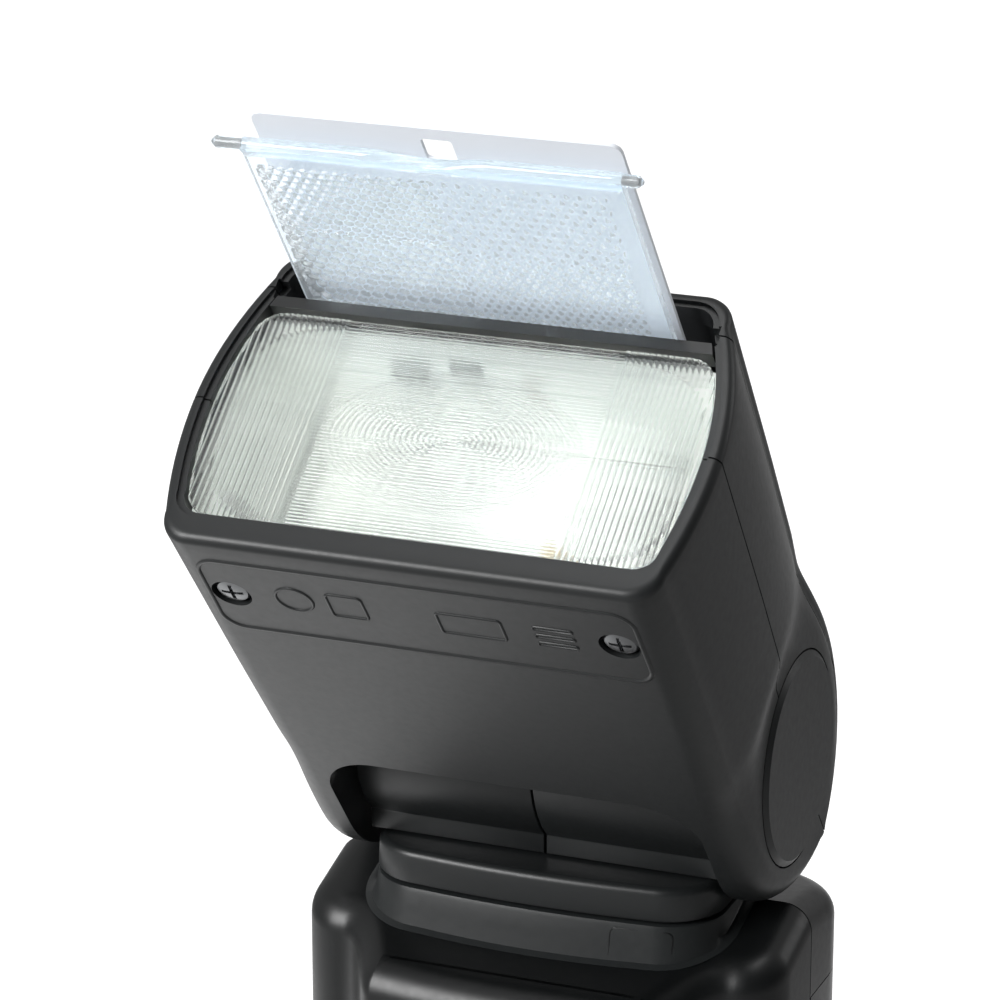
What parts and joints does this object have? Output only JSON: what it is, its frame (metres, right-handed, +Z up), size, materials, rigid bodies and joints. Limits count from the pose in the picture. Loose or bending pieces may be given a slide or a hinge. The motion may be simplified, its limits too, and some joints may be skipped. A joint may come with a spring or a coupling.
{
  "type": "speedlight flash",
  "caption": "Camera flash with a tilting and swivelling head, zoom reflector, pull-out wide panel and bounce card, rear controls, side battery door and shoe foot.",
  "frame": {"origin": "on the swivel axis, at the underside of the shoe foot's metal plate", "axes": "-Y is where the body faces and where the head looks at swivel 0, +Z up along the swivel axis, +X towards the battery door"},
  "size_m": [0.0762, 0.0879, 0.2168],
  "materials": {
    "shell_plastic": "fine satin moulded texture",
    "collar_plastic": "fine satin moulded texture",
    "inner_plastic": "matte",
    "screw_steel": "dark zinc",
    "bare_steel": "plated",
    "reflector_metal": "polished",
    "contact_brass": "plain",
    "lens_plastic": "clear, ribbed",
    "tube_glass": "clear",
    "panel_plastic": "clear blue tint, prism pattern",
    "card_plastic": "white satin",
    "window_plastic": "deep red, smooth",
    "circuit_board": "green lacquer",
    "sleeve_plastic": "shrink sleeve",
    "cell_can": "printed sleeve without marks",
    "control_rubber": "matte",
    "display_plastic": "smooth window",
    "pilot_plastic": "translucent"
  },
  "bodies": {
    "body": {"front_shell": "shell_plastic", "rear_shell": "shell_plastic", "turret_collar": "collar_plastic", "swivel_bearing": "inner_plastic", "front_window": "window_plastic", "display_window": "display_plastic", "main_capacitor": "sleeve_plastic", "main_board": "circuit_board", "battery_holder": "inner_plastic", "battery_cell_1": "cell_can", "battery_cell_2": "cell_can", "battery_cell_3": "cell_can", "battery_cell_4": "cell_can", "sync_socket": "contact_brass", "case_screw_left": "screw_steel", "case_screw_right": "screw_steel", "foot_block": "inner_plastic", "foot_plate": "bare_steel", "door_hinge_pin": "bare_steel"},
    "turret": {"turret_plate": "collar_plastic", "drum_left_half": "shell_plastic", "drum_right_half": "shell_plastic", "tilt_axle": "bare_steel", "tilt_click_disc": "bare_steel", "swivel_hub": "inner_plastic", "swivel_retainer": "bare_steel"},
    "head": {"head_lower_shell": "shell_plastic", "head_middle_band": "shell_plastic", "head_top_shell": "shell_plastic", "panel_tray": "inner_plastic", "front_bar": "shell_plastic", "front_lens": "lens_plastic", "head_screw_left": "screw_steel", "head_screw_right": "screw_steel", "pivot_cover_left": "shell_plastic", "pivot_cover_right": "shell_plastic", "guide_rod_left": "bare_steel", "guide_rod_right": "bare_steel", "zoom_motor": "bare_steel", "head_board": "circuit_board"},
    "zoom": {"zoom_carriage": "inner_plastic", "reflector": "reflector_metal", "flash_tube": "tube_glass"},
    "battery_door": {"battery_door": "shell_plastic", "door_contacts": "bare_steel"},
    "wide_panel": {"wide_panel": "panel_plastic"},
    "bounce_card": {"bounce_card": "card_plastic"},
    "lead_screw": {"zoom_lead_screw": "contact_brass"},
    "mode_button": {"mode_button": "control_rubber"},
    "minus_button": {"minus_button": "control_rubber"},
    "plus_button": {"plus_button": "control_rubber"},
    "light_button": {"light_button": "control_rubber"},
    "set_button": {"set_button": "control_rubber"},
    "select_dial": {"select_dial": "control_rubber"},
    "power_switch": {"power_switch": "control_rubber"},
    "pilot_button": {"pilot_button": "pilot_plastic"},
    "jack_cover": {"jack_cover": "control_rubber"},
    "lock_ring": {"lock_ring": "control_rubber"},
    "lock_pin": {"lock_pin": "bare_steel"},
    "centre_contact": {"centre_contact": "contact_brass"}
  },
  "joints": [
    {"name": "head_swivel", "type": "hinge", "parent": "body", "child": "turret", "pos_m": [0, 0, 0.0925], "axis": [0, 0, 1], "range_deg": [-90, 180]},
    {"name": "head_tilt", "type": "hinge", "parent": "turret", "child": "head", "pos_m": [0, 0, 0.1145], "axis": [-1, 0, 0], "range_deg": [-51.7, 38.3]},
    {"name": "wide_panel_slide", "type": "slide", "parent": "head", "child": "wide_panel", "axis": [0, -0.6198, 0.7848], "range_m": [-0.0325, 0]},
    {"name": "bounce_card_slide", "type": "slide", "parent": "head", "child": "bounce_card", "axis": [0, -0.6198, 0.7848], "range_m": [-0.036, 0]},
    {"name": "zoom_travel", "type": "slide", "parent": "head", "child": "zoom", "axis": [0, -0.6198, 0.7848], "range_m": [-0.012, 0.008]},
    {"name": "lead_screw_spin", "type": "hinge", "parent": "head", "child": "lead_screw", "pos_m": [0.018, -0.03408, 0.13345], "axis": [0, -0.6198, 0.7848], "range_deg": [-866, 578]},
    {"name": "mode_button_press", "type": "slide", "parent": "body", "child": "mode_button", "axis": [0, -1, 0], "range_m": [0, 0.0006], "stiffness_N_per_m": 1500},
    {"name": "minus_button_press", "type": "slide", "parent": "body", "child": "minus_button", "axis": [0, -1, 0], "range_m": [0, 0.0006], "stiffness_N_per_m": 1500},
    {"name": "plus_button_press", "type": "slide", "parent": "body", "child": "plus_button", "axis": [0, -1, 0], "range_m": [0, 0.0006], "stiffness_N_per_m": 1500},
    {"name": "light_button_press", "type": "slide", "parent": "body", "child": "light_button", "axis": [0, -1, 0], "range_m": [0, 0.0006], "stiffness_N_per_m": 1500},
    {"name": "set_button_press", "type": "slide", "parent": "body", "child": "set_button", "axis": [0, -1, 0], "range_m": [0, 0.0006], "stiffness_N_per_m": 1500},
    {"name": "pilot_button_press", "type": "slide", "parent": "body", "child": "pilot_button", "axis": [0, -1, 0], "range_m": [0, 0.0006], "stiffness_N_per_m": 1500},
    {"name": "select_dial_turn", "type": "hinge", "parent": "body", "child": "select_dial", "pos_m": [0, 0.0225, 0.037], "axis": [0, 1, 0], "continuous": true},
    {"name": "power_switch_slide", "type": "slide", "parent": "body", "child": "power_switch", "axis": [1, 0, 0], "range_m": [0, 0.0048]},
    {"name": "battery_door_swing", "type": "hinge", "parent": "body", "child": "battery_door", "pos_m": [0.0356, 0.0052, 0.0202], "axis": [0, 1, 0], "range_deg": [0, 90]},
    {"name": "jack_cover_swing", "type": "hinge", "parent": "body", "child": "jack_cover", "pos_m": [-0.0372, 0.0011, 0.061], "axis": [0, 0, 1], "range_deg": [0, 105]},
    {"name": "lock_ring_turn", "type": "hinge", "parent": "body", "child": "lock_ring", "pos_m": [0, -0.005, 0.0062], "axis": [0, 0, 1], "range_deg": [0, 60]},
    {"name": "lock_pin_drop", "type": "slide", "parent": "body", "child": "lock_pin", "axis": [0, 0, -1], "range_m": [0, 0.0012]},
    {"name": "centre_contact_press", "type": "slide", "parent": "body", "child": "centre_contact", "axis": [0, 0, 1], "range_m": [0, 0.0005], "stiffness_N_per_m": 800}
  ],
  "couplings": [
    {"joint": "lead_screw_spin", "follows": "zoom_travel", "rad_per_m": 1256.6},
    {"joint": "lock_pin_drop", "follows": "lock_ring_turn", "m_per_rad": 0.0011}
  ]
}
